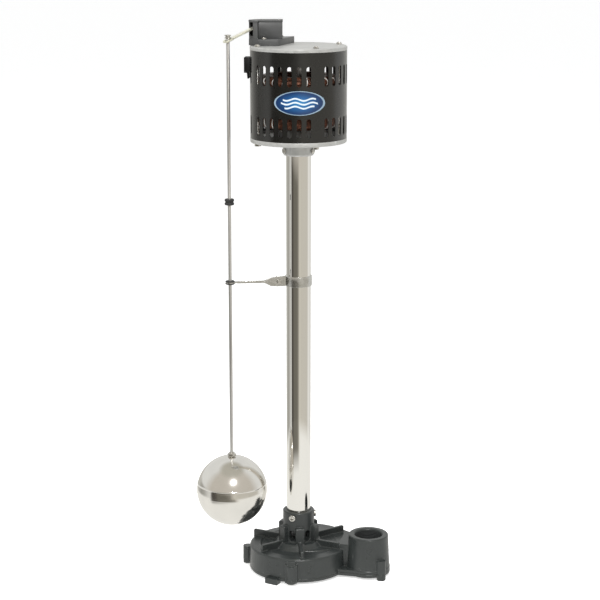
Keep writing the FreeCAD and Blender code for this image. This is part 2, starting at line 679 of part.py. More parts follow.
def make_shell():
    """Rolled steel shell with two rows of cooling slots, seven to each quarter."""
    body = new_body("motor_shell")
    sketch = level_sketch(body, "shell_z")
    draw_circle(sketch, "motor_r")
    draw_circle(sketch, "motor_r - shell_wall")
    pad(body, sketch, "shell_top_z - shell_z")
    doc.recompute()
    sketch = sideways_sketch(body, FIRST_SLOT_BEARING)
    draw_slot(sketch, "slot_r", 0, "shell_z + 10", "shell_z + 29.4")
    draw_slot(sketch, "slot_r", 0, "shell_z + 78.8", "shell_z + 99.4")
    slots = pocket(body, sketch, "motor_r + 5", reverse=True)
    transform = body.newObject("PartDesign::MultiTransform", "slot_rows")
    transform.Originals = [slots]
    patterns = []
    for angle, count in ((6 * SLOT_PITCH, 7), (360, 4)):
        pattern = body.newObject("PartDesign::PolarPattern", "slot_pattern")
        pattern.Axis = (origin_feature(body, "Z_Axis"), [""])
        pattern.Angle = angle
        pattern.Occurrences = count
        patterns.append(pattern)
    transform.Transformations = patterns
    body.Tip = transform
    doc.recompute()


def make_motor_inside():
    stack = cylinder("motor_r - shell_wall - 0.05", "stack_top_z - stack_z",
                     Placement(Vector(0, 0, number("stack_z")), Rotation()))
    holes = [cylinder("bore_r", 60, Placement(Vector(0, 0, 660), Rotation()))]
    for bearing in BOLT_BEARINGS:
        place = polar(number("bolt_circle_r"), bearing, 660)
        holes.append(cylinder("bolt_r + 0.3", 60, Placement(place, Rotation())))
    keep(cut(stack, fuse(*holes)), "stator_core")
    windings = (("upper_winding", "stack_top_z", 1, 14), ("lower_winding", "stack_z", -1, 20))
    for label, start, sign, height in windings:
        winding = [
            ("winding_in_r + 3", 0), ("winding_out_r", 0), ("winding_out_r + 2.5", 5),
            ("winding_out_r", height - 4), ("winding_out_r - 5", height), ("winding_in_r + 3", height),
            ("winding_in_r", height - 5), ("winding_in_r", 5)]
        turned(label, [(radius, f"{start} + {sign * rise}") for radius, rise in winding])
    turned("rotor_core", tube_outline("rotor_r", "motor_shaft_r", "stack_z", "stack_top_z"))
    group("rotor_end_rings", lambda: ring(28.5, 17, 6),
          [Placement(Vector(0, 0, number("stack_top_z")), Rotation()),
           Placement(Vector(0, 0, number("stack_z") - 6), Rotation())])
    turned("motor_shaft", [
        (0, "shaft_joint_z"), ("shaft_r", "shaft_joint_z"), ("shaft_r", 632), ("motor_shaft_r", 637.5),
        ("motor_shaft_r", 753.6), (0, 753.6)])
    for label, low, high in (("lower_bearing", 638, 646), ("upper_bearing", 746, 754)):
        turned(label, tube_outline("bearing_r", "motor_shaft_r + running_gap", low, high))


def ring(outer, inner, height):
    return Part.makeCylinder(outer, height).cut(Part.makeCylinder(inner, height))


def make_bolts():
    """Four long bolts from the lower end bell to the upper one, with their nuts on top."""
    head_height = 3.4
    nut_height = 2.2
    grip = number("motor_top_z - lower_rim_z")
    radius = number("bolt_r")
    circle = number("bolt_circle_r")

    def bolt():
        shank = Part.makeCylinder(radius, head_height + grip + nut_height + 1)
        return hexagon(8, head_height).fuse(shank).removeSplitter()

    low = number("lower_rim_z") - head_height
    group("through_bolts", bolt,
          [Placement(polar(circle, bearing, low), Rotation()) for bearing in BOLT_BEARINGS])
    top = number("motor_top_z")
    group("bolt_nuts", lambda: hexagon(7, nut_height, radius),
          [Placement(polar(circle, bearing, top), Rotation()) for bearing in BOLT_BEARINGS])


def make_label():
    """A thin oval badge that follows the shell."""
    skin = ring(number("motor_r") + 0.45, number("motor_r"), 60)
    skin.translate(Vector(0, 0, 660))
    ellipse = Part.Ellipse(Vector(), 34.5, 16.4).toShape()
    plug = Part.Face(Part.Wire(ellipse)).extrude(Vector(0, 0, 100))
    plug.Placement = Placement(Vector(0, 0, 690.2), Rotation(Vector(0, 0, 1), LABEL_BEARING)).multiply(
        Placement(Vector(), Rotation(Vector(0, 1, 0), 90))).multiply(
        Placement(Vector(), Rotation(Vector(0, 0, 1), 90)))
    badge = doc.addObject("Part::Feature", "label_badge")
    badge.Shape = skin.common(plug)
    keep(badge, "label_badge")


def make_power_inlet():
    """Inlet block on the shell for the supply lead, with its short tapered mouth."""
    block = doc.addObject("PartDesign::Body", "power_inlet_block")
    sketch = new_sketch(block, "XZ_Plane")
    draw_outline(sketch, [
        ("motor_r - 4", 727), ("motor_r + 1", 727), ("motor_r + 1", 717.4), ("motor_r + 3", 717.4),
        ("motor_r + 3.8", 725), ("motor_r + 7.8", 725.6), ("motor_r + 7.8", 746.2),
        ("motor_r + 7.4", 746.6), ("motor_r - 4", 746.6)])
    pad(block, sketch, 19, midplane=True)
    doc.recompute()
    block.Placement = turned_to(POWER_INLET_BEARING)
    inside_of_shell = cylinder("motor_r + 0.02", 60, Placement(Vector(0, 0, 700), Rotation()))
    keep(cut(block, inside_of_shell), "power_inlet")


def make_motor():
    make_end_bells()
    group("hub_screws", lambda: screw(3.9, 2.8, 2.4, 4.4, 2.1, 1.4),
          [pointing(polar(1, bearing), polar(number("hub_r"), bearing, HUB_SCREW_Z))
           for bearing in HUB_SCREW_BEARINGS])
    make_shell()
    make_motor_inside()
    make_bolts()
    make_label()
    make_power_inlet()


# --------------------------------------------------------------------------- float
def rod_place(height=0.0):
    return polar(number("rod_reach"), ROD_BEARING, height)


def dome_sketch(body, outer, inner, low_angle, high_angle):
    """A curved wall between two circles about the origin, from one angle to the other."""
    sketch = upright_sketch(body)
    start = math.radians(low_angle)
    stop = math.radians(high_angle)
    circles = [Part.Circle(Vector(), Vector(0, 0, 1), radius) for radius in (outer, inner)]
    arcs = [Part.ArcOfCircle(circle, start, stop) for circle in circles]
    for arc in arcs:
        sketch.addGeometry(arc, False)
    sketch.addGeometry(Part.LineSegment(arcs[0].StartPoint, arcs[1].StartPoint), False)
    sketch.addGeometry(Part.LineSegment(arcs[0].EndPoint, arcs[1].EndPoint), False)
    for index in range(4):
        sketch.addConstraint(Sketcher.Constraint("Block", index))
    return sketch


def make_ball():
    """Two domes that lap at the middle; the upper one's lap ends in a raised bead."""
    centre = Placement(rod_place(number("ball_z")), Rotation())
    outer = number("ball_r")
    wall = number("ball_wall")
    hole_angle = math.degrees(math.acos(4.2 / outer))
    bead_angle = math.degrees(math.asin(number("lap_z") / outer))
    body = new_body("float_upper_shell")
    revolve(body, dome_sketch(body, outer, outer - wall, 0, hole_angle))
    revolve(body, dome_sketch(body, outer + 0.4, outer - 0.3, bead_angle - 1.2, bead_angle + 1.2))
    sketch = upright_sketch(body)
    draw_outline(sketch, tube_outline("ball_r", "ball_r - ball_wall", "lap_foot_z", 0))
    revolve(body, sketch)
    body.Placement = centre
    body = new_body("float_lower_shell")
    revolve(body, dome_sketch(body, outer - wall, outer - 2 * wall, -90, 0))
    sketch = upright_sketch(body)
    draw_outline(sketch, tube_outline("ball_r - ball_wall - 0.25", "ball_r - 2 * ball_wall", -1, 3))
    revolve(body, sketch)
    body.Placement = centre


def make_float():
    make_ball()
    turned("float_ferrule", [
        ("rod_r", 36), (5.5, 36), (5.5, 49), (4.1, 49.4), (4.1, 51.6), ("rod_r", 51.6)],
        Placement(rod_place(number("ball_z")), Rotation()))
    nut = doc.addObject("Part::Feature", "float_nut")
    collar = Part.makeCylinder(3.9, 1.8, Vector(0, 0, 3.4))
    nut.Shape = hexagon(11, 3.4).fuse(collar).cut(Part.makeCylinder(number("rod_r"), 6))
    nut.Placement = Placement(rod_place(number("ball_z") + 51.6), Rotation())
    keep(nut, "float_nut")
    rod = cylinder("rod_r", "rod_top_z - rod_z", Placement(rod_place(number("rod_z")), Rotation()))
    keep(rod, "float_rod")
    stand = Placement(rod_place(), Rotation())
    turned("rod_stop", [
        ("rod_r", "stop_z"), ("stop_r - 0.7", "stop_z"), ("stop_r", "stop_z + 0.7"),
        ("stop_r", "stop_z + 3"), ("stop_r - 1", "stop_z + 3.7"), ("stop_r - 1", "stop_z + 4.9"),
        ("stop_r", "stop_z + 5.6"), ("stop_r", "stop_top_z - 0.7"), ("stop_r - 0.7", "stop_top_z"),
        ("rod_r", "stop_top_z")], stand)
    turned("rod_top_cap", [
        ("rod_r", "cap_z"), ("cap_r", "cap_z"), ("cap_r", "cap_z + 1.3"), ("cap_r - 1.2", "cap_z + 1.6"),
        ("cap_r - 1.2", "cap_z + 3.2"), ("cap_r", "cap_z + 3.5"), ("cap_r", "cap_z + 4.4"),
        ("cap_r - 0.6", "cap_z + 4.9"), (0, "cap_z + 4.9"), (0, "rod_top_z"),
        ("rod_r", "rod_top_z")], stand)


# --------------------------------------------------------------------------- rod guide
def make_guide_clamp():
    """A strap round the column whose two ears are drawn together by one screw."""
    body = new_body("guide_clamp")
    ear_root = "column_r + 0.3"
    ear_end = 33
    sketch = level_sketch(body, "guide_z")
    draw_circle(sketch, "column_r + 0.02 + strap")
    draw_circle(sketch, "column_r + 0.02")
    pad(body, sketch, "guide_top_z - guide_z")
    for near, far in (("0", "strap"), ("-strap_gap", "-strap_gap - strap")):
        sketch = level_sketch(body, "guide_z")
        draw_outline(sketch, [(ear_root, near), (ear_end, near), (ear_end, far), (ear_root, far)])
        pad(body, sketch, "guide_top_z - guide_z")
    doc.recompute()
    sketch = level_sketch(body, "guide_top_z + 1")
    draw_outline(sketch, [(10, "-strap_gap"), (40, "-strap_gap"), (40, 0), (10, 0)])
    pocket(body, sketch, 30)
    sketch = new_sketch(body, "XZ_Plane")
    draw_circle(sketch, 2.1, "clamp_screw_x", "clamp_screw_z")
    pocket(body, sketch, 20, midplane=True)
    body.Placement = turned_to(ROD_BEARING)


def make_guide_arm():
    """A strip with a spoon-shaped root on the clamp's ear and a flat eye round the rod."""
    body = new_body("guide_arm")
    near = Placement(Vector(0, 0, -number("strap + 0.04")), Rotation())
    sketch = new_sketch(body, "XZ_Plane", near)
    draw_outline(sketch, [
        (23, 426.6), (35, 426), (41, 426.4), (46, 429.2), (51, 431.8), (90, 433.2), (90, 436.2),
        (51, 435.2), (46, 437), (41, 438.8), (35, 439.4), (23, 439.2)])
    strip = pad(body, sketch, "arm_thick")
    strip.Reversed = True
    sketch = level_sketch(body, "eye_z - 1")
    draw_circle(sketch, "eye_r", "rod_reach", 0)
    pad(body, sketch, 2)
    sketch = level_sketch(body, "eye_z - 1")
    draw_outline(sketch, [(87, "-arm_thick"), (97, "-arm_thick"), (97, "strap + 0.04 + arm_thick"),
                          (87, "strap + 0.04 + arm_thick")])
    pad(body, sketch, 2)
    doc.recompute()
    sketch = level_sketch(body, "eye_z + 10")
    draw_circle(sketch, "grommet_neck_r", "rod_reach", 0)
    pocket(body, sketch, 20)
    sketch = new_sketch(body, "XZ_Plane")
    draw_circle(sketch, 2.1, "clamp_screw_x", "clamp_screw_z")
    pocket(body, sketch, 20, midplane=True)
    body.Placement = turned_to(ROD_BEARING)


def make_guide():
    make_guide_clamp()
    make_guide_arm()
    turned("guide_grommet", [
        ("rod_r + 0.35", "eye_z - 2.6"), ("grommet_r - 1.2", "eye_z - 2.6"),
        ("grommet_r", "eye_z - 1.4"), ("grommet_r", "eye_z - 1"),
        ("grommet_neck_r", "eye_z - 1"), ("grommet_neck_r", "eye_z + 1"),
        ("grommet_r", "eye_z + 1"), ("grommet_r", "eye_z + 1.4"), ("grommet_r - 1.2", "eye_z + 2.6"),
        ("rod_r + 0.35", "eye_z + 2.6")], Placement(rod_place(), Rotation()))
    across = polar(1, ROD_BEARING + 90)
    centre = polar(number("clamp_screw_x"), ROD_BEARING, number("clamp_screw_z"))
    head_seat = centre + across * number("strap + 0.04 + arm_thick")
    nut_seat = centre - across * number("strap_gap + strap")
    group("clamp_screw", lambda: screw(3.3, 1.9, 1.95, 9.5, 1.8, 1.1), [pointing(across, head_seat)])
    group("clamp_nut", lambda: hexagon(7, 2.8, 1.95), [pointing(-across, nut_seat)])


# --------------------------------------------------------------------------- float switch
def inset(corners, distance):
    """The same outline moved inwards, for corners listed anticlockwise."""
    moved = []
    count = len(corners)
    for index in range(count):
        before = Vector(*corners[index - 1], 0)
        here = Vector(*corners[index], 0)
        after = Vector(*corners[(index + 1) % count], 0)
        first = (here - before).normalize()
        second = (after - here).normalize()
        bisector = Vector(-first.y - second.y, first.x + second.x, 0).normalize()
        reach = distance / (bisector.dot(Vector(-first.y, first.x, 0)))
        place = here + bisector * reach
        moved.append((round(place.x, 3), round(place.y, 3)))
    return moved


def switch_frame(x=0.0, y=0.0, z=0.0):
    return turned_to(SWITCH_TURN).multiply(Placement(Vector(x, y, z), Rotation()))


def pivot_point():
    place = switch_frame(*PIVOT_PLACE).Base
    return Vector(place.x, place.y, number("pivot_z"))


def lever_bearing():
    reach = rod_place() - pivot_point()
    return math.degrees(math.atan2(reach.y, reach.x))


def make_switch_case():
    body = new_body("switch_base")
    sketch = level_sketch(body, "motor_top_z")
    draw_outline(sketch, FLANGE_CORNERS)
    pad(body, sketch, "flange_top_z - motor_top_z")
    doc.recompute()
    for x, y in SWITCH_SCREWS:
        sketch = level_sketch(body, "flange_top_z + 1")
        draw_circle(sketch, 2.1, x, y)
        pocket(body, sketch, 12)
    body.Placement = switch_frame()

    body = new_body("switch_housing")
    sketch = level_sketch(body, "flange_top_z")
    draw_outline(sketch, HOUSING_CORNERS)
    draw_outline(sketch, inset(HOUSING_CORNERS, 2.2))
    pad(body, sketch, "housing_top_z - flange_top_z")
    for x, y in LID_SCREWS:
        sketch = level_sketch(body, "flange_top_z")
        draw_circle(sketch, 3.4, x, y)
        pad(body, sketch, "housing_top_z - flange_top_z")
    doc.recompute()
    for x, y in LID_SCREWS:
        sketch = level_sketch(body, "housing_top_z + 1")
        draw_circle(sketch, 1.3, x, y)
        pocket(body, sketch, 9)
    # lever mouth, through the cut corner and open to the lid
    mouth = body.newObject("PartDesign::SubtractiveBox", "lever_mouth")
    mouth_width = 9.2
    mouth_foot = number("flange_top_z") + 4
    mouth.Length = 24
    mouth.Width = mouth_width
    mouth.Height = number("housing_top_z") + 1 - mouth_foot
    turn = Rotation(Vector(0, 0, 1), lever_bearing() - SWITCH_TURN)
    start = Vector(*PIVOT_PLACE, mouth_foot) + turn.multVec(Vector(5, -mouth_width / 2, 0))
    mouth.Placement = Placement(start, turn)
    doc.recompute()
    body.Placement = switch_frame()

    body = new_body("switch_cover")
    sketch = level_sketch(body, "housing_top_z")
    draw_outline(sketch, inset(HOUSING_CORNERS, -0.5))
    pad(body, sketch, "lid_top_z - housing_top_z")
    doc.recompute()
    for x, y in LID_SCREWS:
        for radius, depth in ((1.6, 6), (3.0, 2.5)):
            sketch = level_sketch(body, "lid_top_z + 1")
            draw_circle(sketch, radius, x, y)
            pocket(body, sketch, depth)
    body.Placement = switch_frame()
    group("switch_screws", lambda: screw(3.9, 2.3, 1.95, 11, 2.1, 1.2),
          [switch_frame(x, y, number("flange_top_z")) for x, y in SWITCH_SCREWS])
    group("cover_screws", lambda: screw(2.8, 1.4, 1.25, 9, 1.6, 0.8),
          [switch_frame(x, y, number("lid_top_z - 1.5")) for x, y in LID_SCREWS])


def make_lever():
    """Lever in its own frame, pivot at the origin and arm along +X, then tilted down."""
    bearing = lever_bearing()
    pose = Placement(pivot_point(), Rotation(Vector(0, 0, 1), bearing)).multiply(
        Placement(Vector(), Rotation(Vector(0, 1, 0), LEVER_DROP)))
    body = new_body("switch_lever")
    sketch = level_sketch(body, "-lever_thick / 2")
    draw_outline(sketch, [(-10, -3.5), (50, -3.5), (53, -5.4), (61, -5.4), (64.4, -2.5), (64.4, 2.5),
                          (61, 5.4), (53, 5.4), (50, 3.5), (-10, 3.5)])
    pad(body, sketch, "lever_thick")
    barrel = new_sketch(body, "XZ_Plane")
    draw_circle(barrel, "lever_boss_r")
    pad(body, barrel, "lever_width", midplane=True)
    doc.recompute()
    bore = new_sketch(body, "XZ_Plane")
    draw_circle(bore, "pin_r + running_gap")
    pocket(body, bore, 20, midplane=True)
    slot = level_sketch(body, 5)
    draw_outline(slot, [("lever_slot_in", -3), ("lever_slot_out", -3), ("lever_slot_out", 3),
                        ("lever_slot_in", 3)])
    pocket(body, slot, 10)
    body.Placement = pose

    across = Rotation(Vector(0, 0, 1), bearing).multVec(Vector(0, 1, 0))
    pin = cylinder("pin_r", 14.6, pointing(across, pivot_point() - across * 7.3))
    keep(pin, "lever_pivot_pin")

    body = new_body("lever_bracket")
    sketch = new_sketch(body, "YZ_Plane")
    ear_top = "pivot_z + 4.1"
    draw_outline(sketch, [
        (-7, "flange_top_z"), (7, "flange_top_z"), (7, ear_top), (5.2, ear_top),
        (5.2, "flange_top_z + 1.6"), (-5.2, "flange_top_z + 1.6"), (-5.2, ear_top), (-7, ear_top)])
    pad(body, sketch, 8, midplane=True)
    doc.recompute()
    bore = new_sketch(body, "XZ_Plane")
    draw_circle(bore, "pin_r", 0, "pivot_z")
    pocket(body, bore, 20, midplane=True)
    foot = pivot_point()
    body.Placement = Placement(Vector(foot.x, foot.y, 0), Rotation(Vector(0, 0, 1), bearing))

    make_snap_switch(bearing)


def make_snap_switch(bearing):
    """Snap switch under the lever's tail, with the push button that the tail presses."""
    case_z = number("flange_top_z")
    turn = Rotation(Vector(0, 0, 1), bearing)
    foot = pivot_point()
    case_place = Placement(Vector(foot.x, foot.y, case_z) + turn.multVec(Vector(-11.2, 0, 0)), turn)
    button_place = Vector(foot.x, foot.y, case_z + 5) + turn.multVec(Vector(-8.6, 0, 0))
    case = box(12, 10, "snap_case", case_place)
    bore = cylinder("button_r + running_gap", 20, Placement(button_place, Rotation()))
    keep(cut(case, bore), "snap_switch")
    button = cylinder("button_r", "button_top_z - flange_top_z - 8",
                      Placement(button_place + Vector(0, 0, 3), Rotation()))
    keep(button, "snap_switch_button")


# --------------------------------------------------------------------------- build, test, write
make_base()
make_column()
make_motor()
make_float()
make_guide()
make_switch_case()
make_lever()
doc.recompute()

faults = []
for item in doc.Objects:
    if "Invalid" in item.State or "Error" in item.State:
        faults.append(f"{item.Label}: {item.State}")
for node in NODES:
    shape = node.Shape
    if shape.isNull() or not shape.isValid() or not shape.Solids:
        faults.append(f"{node.Label}: bad shape")
if faults:
    raise RuntimeError("; ".join(faults))

os.makedirs("parts", exist_ok=True)
for node in NODES:
    node.Shape.exportStep(f"parts/{node.Label}.step")
print(len(NODES), "sub-parts written")
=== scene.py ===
"""Looks of the pedestal sump pump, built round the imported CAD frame. Metres, +Z up."""
import bmesh
import bpy
import json
import math
import random
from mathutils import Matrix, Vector

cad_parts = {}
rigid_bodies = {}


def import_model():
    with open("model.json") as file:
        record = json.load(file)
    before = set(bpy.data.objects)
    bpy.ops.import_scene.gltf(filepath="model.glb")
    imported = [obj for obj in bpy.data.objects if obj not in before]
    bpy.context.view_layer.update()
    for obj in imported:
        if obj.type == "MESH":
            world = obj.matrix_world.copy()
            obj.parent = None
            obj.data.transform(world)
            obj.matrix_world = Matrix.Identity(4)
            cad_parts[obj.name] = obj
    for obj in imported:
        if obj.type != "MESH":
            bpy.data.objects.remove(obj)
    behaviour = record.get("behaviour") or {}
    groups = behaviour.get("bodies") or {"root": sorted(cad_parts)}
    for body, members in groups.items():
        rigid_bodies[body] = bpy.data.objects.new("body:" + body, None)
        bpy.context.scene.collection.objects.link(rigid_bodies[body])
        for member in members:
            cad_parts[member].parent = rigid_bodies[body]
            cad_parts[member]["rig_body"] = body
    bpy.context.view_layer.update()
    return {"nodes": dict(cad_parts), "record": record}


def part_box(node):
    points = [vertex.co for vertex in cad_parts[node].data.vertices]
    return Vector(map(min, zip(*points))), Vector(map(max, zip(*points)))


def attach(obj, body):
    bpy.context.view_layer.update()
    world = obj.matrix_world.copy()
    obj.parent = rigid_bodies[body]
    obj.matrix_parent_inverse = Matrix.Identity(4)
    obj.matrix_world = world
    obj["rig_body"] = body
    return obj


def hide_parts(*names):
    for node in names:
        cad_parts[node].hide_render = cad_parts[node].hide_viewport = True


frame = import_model()
NODES = frame["nodes"]
FRAME_BODY = "pump_frame"
MM = 0.001
WELD_DISTANCE = 0.002 * MM

# --------------------------------------------------------------------------- camera
VIEW_AZIMUTH = math.radians(13.3)
VIEW_PITCH = math.radians(12.9)
CAMERA_PLACE = Vector((0.5443, -2.2937, 0.9433))
LENS_MM = 102.0

# --------------------------------------------------------------------------- studio settings
AMBIENT = 0.55
FLOOR_GLOW = 0.5
REFLECTED_FLOOR_RADIUS = 0.6
# the part of the room whose dark reaches further in over the floor
DARK_SIDE = [
    (0.3, (0, 0, 0)), (0.32, (1, 1, 1)), (0.5, (1, 1, 1)), (0.54, (0, 0, 0))]
CEILING_COLOUR = (0.5, 0.48, 0.42)
# the room above the horizon: bright behind and beside the object, warm on the camera's side
UPPER_COLOURS = [
    (0.0, (0.8, 0.8, 0.78)), (0.22, (0.8, 0.8, 0.78)), (0.3, (0.62, 0.58, 0.52)),
    (0.7, (0.62, 0.58, 0.52)), (0.78, (0.8, 0.8, 0.78)), (1.0, (0.8, 0.8, 0.78))]
# how steeply up a look has to go, from 0 level to 1 straight up, for the walls' upper colours and
# for the ceiling to come in
UPPER_WALL_RISE = (0.0, 0.06)
CEILING_RISE = (0.8, 0.92)
# wall colours right round the room: from behind the object, by the left and the camera's side,
# to the right
WALL_COLOURS = [
    (0.0, (0.62, 0.61, 0.57)), (0.12, (0.58, 0.57, 0.53)), (0.175, (0.38, 0.37, 0.34)),
    (0.225, (0.46, 0.45, 0.42)), (0.27, (0.7, 0.69, 0.66)), (0.3, (0.8, 0.79, 0.76)),
    (0.315, (0.075, 0.07, 0.06)), (0.355, (0.1, 0.09, 0.078)), (0.375, (0.165, 0.155, 0.13)),
    (0.455, (0.18, 0.168, 0.14)), (0.49, (0.26, 0.245, 0.21)), (0.505, (0.5, 0.47, 0.41)),
    (0.53, (0.68, 0.65, 0.57)), (0.56, (0.62, 0.59, 0.52)), (0.75, (0.62, 0.59, 0.53)),
    (0.78, (0.88, 0.87, 0.84)), (1.0, (0.62, 0.61, 0.57))]


def make_camera():
    data = bpy.data.cameras.new("camera")
    data.lens = LENS_MM
    data.sensor_width = 36.0
    data.clip_end = 50
    camera = bpy.data.objects.new("camera", data)
    camera.location = CAMERA_PLACE
    camera.rotation_euler = (math.pi / 2 - VIEW_PITCH, 0, VIEW_AZIMUTH)
    bpy.context.scene.collection.objects.link(camera)
    bpy.context.scene.camera = camera


# --------------------------------------------------------------------------- material nodes
def wire(tree, source, output, target, socket):
    tree.links.new(source.outputs[output], target.inputs[socket])


def new_material(name, colour, roughness, metallic=0.0):
    """A Principled material; returns it with its tree and shader."""
    material = bpy.data.materials.new(name)
    material.use_nodes = True
    tree = material.node_tree
    shader = tree.nodes["Principled BSDF"]
    shader.inputs["Base Color"].default_value = (*colour, 1)
    shader.inputs["Roughness"].default_value = roughness
    shader.inputs["Metallic"].default_value = metallic
    return material, tree, shader


def object_coordinates(tree, stretch=(1, 1, 1)):
    coordinates = tree.nodes.new("ShaderNodeTexCoord")
    mapping = tree.nodes.new("ShaderNodeMapping")
    mapping.inputs["Scale"].default_value = stretch
    wire(tree, coordinates, "Object", mapping, "Vector")
    return mapping


def noise(tree, size, detail=4.0, stretch=(1, 1, 1)):
    """Noise whose lumps are about size metres across."""
    texture = tree.nodes.new("ShaderNodeTexNoise")
    texture.inputs["Scale"].default_value = 1.0 / size
    texture.inputs["Detail"].default_value = detail
    wire(tree, object_coordinates(tree, stretch), "Vector", texture, "Vector")
    return texture


def ramp(tree, value, stops):
    """The colour that a value picks from (position, colour) pairs."""
    node = tree.nodes.new("ShaderNodeValToRGB")
    elements = node.color_ramp.elements
    while len(elements) < len(stops):
        elements.new(0.5)
    for element, (position, colour) in zip(elements, stops):
        element.position = position
        element.color = (*colour, 1)
    tree.links.new(value, node.inputs["Fac"])
    return node.outputs["Color"]


def maths(tree, operation, *values):
    """A sum of numbers and sockets; returns the socket that holds the result."""
    node = tree.nodes.new("ShaderNodeMath")
    node.operation = operation
    for index, value in enumerate(values):
        if isinstance(value, (int, float)):
            node.inputs[index].default_value = value
        else:
            tree.links.new(value, node.inputs[index])
    return node.outputs[0]


def stretched(tree, value, from_low, from_high, to_low=0.0, to_high=1.0):
    """Moves a value from one range to another and stops at its ends."""
    node = tree.nodes.new("ShaderNodeMapRange")
    node.inputs["From Min"].default_value = from_low
    node.inputs["From Max"].default_value = from_high
    node.inputs["To Min"].default_value = to_low
    node.inputs["To Max"].default_value = to_high
    tree.links.new(value, node.inputs["Value"])
    return node.outputs["Result"]


def mixed(tree, factor, first, second):
    """A colour between two, each a socket or a plain colour."""
    node = tree.nodes.new("ShaderNodeMix")
    node.data_type = "RGBA"
    tree.links.new(factor, node.inputs["Factor"])
    sockets = [socket for socket in node.inputs if socket.type == "RGBA"]
    for socket, colour in zip(sockets, (first, second)):
        if isinstance(colour, tuple):
            socket.default_value = (*colour, 1)
        else:
            tree.links.new(colour, socket)
    return next(out for out in node.outputs if out.type == "RGBA")


def spread(tree, texture, low, high):
    """Turns a noise texture's usual range into low to high."""
    return stretched(tree, texture.outputs["Fac"], 0.3, 0.7, low, high)


def bump(tree, shader, source, depth, strength=1.0, output="Fac"):
    node = tree.nodes.new("ShaderNodeBump")
    node.inputs["Distance"].default_value = depth
    node.inputs["Strength"].default_value = strength
    wire(tree, source, output, node, "Height")
    wire(tree, node, "Normal", shader, "Normal")
    return node


def shade(colour, factor):
    return tuple(min(1.0, channel * factor) for channel in colour)


def mottled(name, colour, roughness, metallic=0.0, patch=0.012, contrast=0.12, grain=0.0004,
            grain_depth=0.00003, roughness_swing=0.08, stretch=(1, 1, 1)):
    """Colour patches, a fine grain in relief, and roughness that varies with the patches."""
    material, tree, shader = new_material(name, colour, roughness, metallic)
    patches = noise(tree, patch, 5.0, stretch)
    stops = [(0.3, shade(colour, 1 - contrast)), (0.7, shade(colour, 1 + contrast))]
    tree.links.new(ramp(tree, patches.outputs["Fac"], stops), shader.inputs["Base Color"])
    swing = spread(tree, patches, roughness - roughness_swing, roughness + roughness_swing)
    tree.links.new(swing, shader.inputs["Roughness"])
    if grain_depth:
        bump(tree, shader, noise(tree, grain, 3.0, stretch), grain_depth)
    return material


def set_shader(material, **amounts):
    """Sets plain numbers on the shader's sockets, spaces in their names written as underscores."""
    shader = material.node_tree.nodes["Principled BSDF"]
    for socket, amount in amounts.items():
        shader.inputs[socket.replace("_", " ")].default_value = amount


def painted_edge_highlight(material, colour, amount=0.6):
    """Edges painted paler as a highlight, found from the surface's own pointiness."""
    tree = material.node_tree
    shader = tree.nodes["Principled BSDF"]
    plain = shader.inputs["Base Color"].links[0].from_socket
    geometry = tree.nodes.new("ShaderNodeNewGeometry")
    edge = stretched(tree, geometry.outputs["Pointiness"], 0.53, 0.62, 0.0, amount)
    tree.links.new(mixed(tree, edge, plain, colour), shader.inputs["Base Color"])


def label_print(centre, bearing):
    """Blue oval, paler towards its middle, with a light rim and three plain wave lines."""
    material, tree, shader = new_material("label_print", (0.05, 0.2, 0.5), 0.25)
    shader.inputs["Coat Weight"].default_value = 0.4
    coordinates = tree.nodes.new("ShaderNodeTexCoord")
    flat = tree.nodes.new("ShaderNodeMapping")
    flat.vector_type = "TEXTURE"
    flat.inputs["Location"].default_value = centre
    flat.inputs["Rotation"].default_value = (0, 0, bearing + math.pi / 2)
    wire(tree, coordinates, "Object", flat, "Vector")
    split = tree.nodes.new("ShaderNodeSeparateXYZ")
    wire(tree, flat, "Vector", split, "Vector")

    across = maths(tree, "DIVIDE", split.outputs["X"], 0.0337)
    up = maths(tree, "DIVIDE", split.outputs["Z"], 0.0164)
    across_squared = maths(tree, "MULTIPLY", across, across)
    up_squared = maths(tree, "MULTIPLY", up, up)
    squares = maths(tree, "ADD", across_squared, up_squared)
    fade = ramp(tree, maths(tree, "SQRT", squares), [
        (0.0, (0.02, 0.16, 0.34)), (0.45, (0.006, 0.07, 0.2)), (0.86, (0.002, 0.022, 0.08)),
        (0.94, (0.002, 0.022, 0.08)), (0.96, (0.2, 0.28, 0.35))])
    wave = maths(tree, "MULTIPLY", maths(tree, "SINE", maths(tree, "MULTIPLY", across, 9.0)), 0.09)
    lines = None
    for height, half_length in ((0.3, 0.66), (-0.02, 0.74), (-0.34, 0.6)):
        off = maths(tree, "ABSOLUTE", maths(tree, "SUBTRACT", maths(tree, "ADD", up, wave), height))
        line = maths(tree, "LESS_THAN", off, 0.065)
        short = maths(tree, "LESS_THAN", maths(tree, "ABSOLUTE", across), half_length)
        both = maths(tree, "MULTIPLY", line, short)
        lines = both if lines is None else maths(tree, "MAXIMUM", lines, both)
    tree.links.new(mixed(tree, lines, fade, (0.5, 0.56, 0.6)), shader.inputs["Base Color"])
    bump(tree, shader, noise(tree, 0.006, 2.0), 0.00004)
    return material


